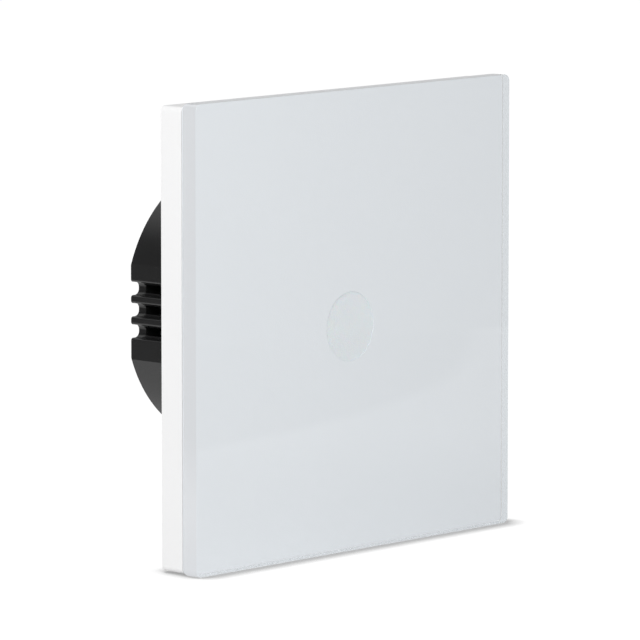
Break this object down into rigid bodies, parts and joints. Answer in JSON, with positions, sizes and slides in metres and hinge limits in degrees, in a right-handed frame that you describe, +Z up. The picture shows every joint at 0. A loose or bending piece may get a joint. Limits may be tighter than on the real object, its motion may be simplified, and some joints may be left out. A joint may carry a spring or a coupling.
{
  "type": "touch light switch",
  "caption": "Square glass touch light switch: a framed glass panel pulls off a mounting plate with slotted holes and a round vented rear housing with screw terminals.",
  "frame": {"origin": "on the wall plane, on the axis of the round housing and its wall box; the middle of the glass is 1 mm lower", "axes": "+Z up, -Y out of the wall into the room (the glass faces -Y), +X to the right seen from the room"},
  "size_m": [0.086, 0.0347, 0.086],
  "materials": {
    "glass": "clear, polished",
    "white_ink": "opaque white ink",
    "diffuser": "translucent white",
    "white_frame": "satin white moulding",
    "white_module": "fine matte white moulding",
    "black_housing": "fine matte black moulding",
    "zinc_steel": "zinc plated",
    "tinned_steel": "tinned wire",
    "soft_iron": "plain",
    "brass": "stamped",
    "copper_wire": "enamelled wire",
    "circuit_board": "solder mask",
    "black_resin": "moulded",
    "brown_resin": "moulded",
    "green_resin": "moulded",
    "blue_case": "moulded",
    "yellow_case": "moulded",
    "bobbin_resin": "moulded",
    "capacitor_sleeve": "shrunk sleeve",
    "led_resin": "clear",
    "ferrite": "sintered"
  },
  "bodies": {
    "module": {"mounting_plate": "white_module", "front_cover": "white_module", "housing_screws": "zinc_steel", "rear_housing": "black_housing", "touch_board": "circuit_board", "touch_board_screws": "zinc_steel", "touch_spring": "tinned_steel", "indicator_led": "led_resin", "touch_controller": "black_resin", "header_socket": "black_resin", "header_base": "black_resin", "header_pins": "brass", "power_board": "circuit_board", "relay_base": "black_resin", "relay_pins": "brass", "relay_case": "blue_case", "relay_bobbin": "bobbin_resin", "relay_winding": "copper_wire", "relay_core": "soft_iron", "fixed_contact": "brass", "film_capacitor": "yellow_case", "electrolytic_capacitor": "capacitor_sleeve", "choke_core": "ferrite", "choke_winding": "copper_wire", "varistor": "blue_case", "fuse": "brown_resin", "bridge_rectifier": "black_resin", "voltage_regulator": "black_resin", "terminal_block": "green_resin", "terminal_bars": "brass"},
    "panel": {"glass_panel": "glass", "back_print": "white_ink", "light_diffuser": "diffuser", "panel_frame": "white_frame"},
    "armature": {"relay_armature": "soft_iron", "contact_blade": "brass"},
    "cage_left": {"clamp_cage_left": "zinc_steel"},
    "screw_left": {"clamp_screw_left": "zinc_steel"},
    "cage_middle": {"clamp_cage_middle": "zinc_steel"},
    "screw_middle": {"clamp_screw_middle": "zinc_steel"},
    "cage_right": {"clamp_cage_right": "zinc_steel"},
    "screw_right": {"clamp_screw_right": "zinc_steel"}
  },
  "joints": [
    {"name": "panel_pull", "type": "slide", "parent": "module", "child": "panel", "axis": [0, -1, 0], "range_m": [0, 0.03]},
    {"name": "relay_switch", "type": "hinge", "parent": "module", "child": "armature", "pos_m": [-0.0088, 0.00525, 0.0088], "axis": [0, 0, 1], "range_deg": [0, 4.5], "stiffness_Nm_per_rad": 0.005, "springref_deg": -5.73},
    {"name": "screw_turn_left", "type": "hinge", "parent": "module", "child": "screw_left", "pos_m": [-0.0076, 0.01955, -0.018], "axis": [0, 0, 1], "range_deg": [0, 1440]},
    {"name": "cage_lift_left", "type": "slide", "parent": "module", "child": "cage_left", "axis": [0, 0, -1], "range_m": [0, 0.002]},
    {"name": "screw_turn_middle", "type": "hinge", "parent": "module", "child": "screw_middle", "pos_m": [0, 0.01955, -0.018], "axis": [0, 0, 1], "range_deg": [0, 1440]},
    {"name": "cage_lift_middle", "type": "slide", "parent": "module", "child": "cage_middle", "axis": [0, 0, -1], "range_m": [0, 0.002]},
    {"name": "screw_turn_right", "type": "hinge", "parent": "module", "child": "screw_right", "pos_m": [0.0076, 0.01955, -0.018], "axis": [0, 0, 1], "range_deg": [0, 1440]},
    {"name": "cage_lift_right", "type": "slide", "parent": "module", "child": "cage_right", "axis": [0, 0, -1], "range_m": [0, 0.002]}
  ],
  "couplings": [
    {"joint": "screw_turn_left", "follows": "cage_lift_left", "rad_per_m": 12566},
    {"joint": "screw_turn_middle", "follows": "cage_lift_middle", "rad_per_m": 12566},
    {"joint": "screw_turn_right", "follows": "cage_lift_right", "rad_per_m": 12566}
  ]
}
